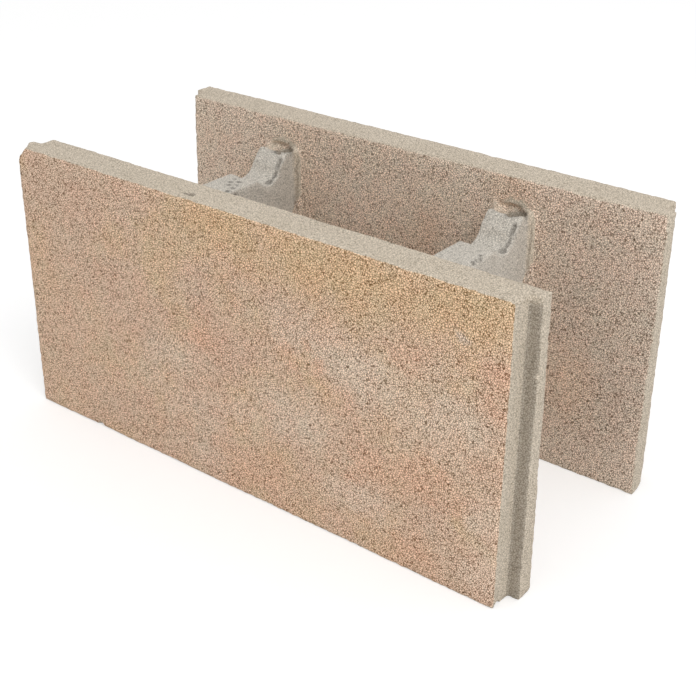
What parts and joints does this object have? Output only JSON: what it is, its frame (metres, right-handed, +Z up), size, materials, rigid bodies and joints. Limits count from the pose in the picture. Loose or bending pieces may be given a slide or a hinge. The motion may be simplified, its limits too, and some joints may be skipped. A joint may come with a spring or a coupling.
{
  "type": "concrete formwork block",
  "caption": "Dry-cast concrete formwork block: face shells joined by low saddle webs with bar seats, open cells for poured concrete and lapped tongue ends.",
  "frame": {"origin": "middle of the block's box at the level that it stands on, halfway along it with its tongues and halfway between its two outer faces", "axes": "+X along the block towards its tongue end, +Y across the wall, +Z up, as the block is laid"},
  "size_m": [0.51, 0.24, 0.25],
  "materials": {
    "cast_concrete": "matte"
  },
  "bodies": {
    "root": {"formwork_block": "cast_concrete"}
  },
  "joints": []
}
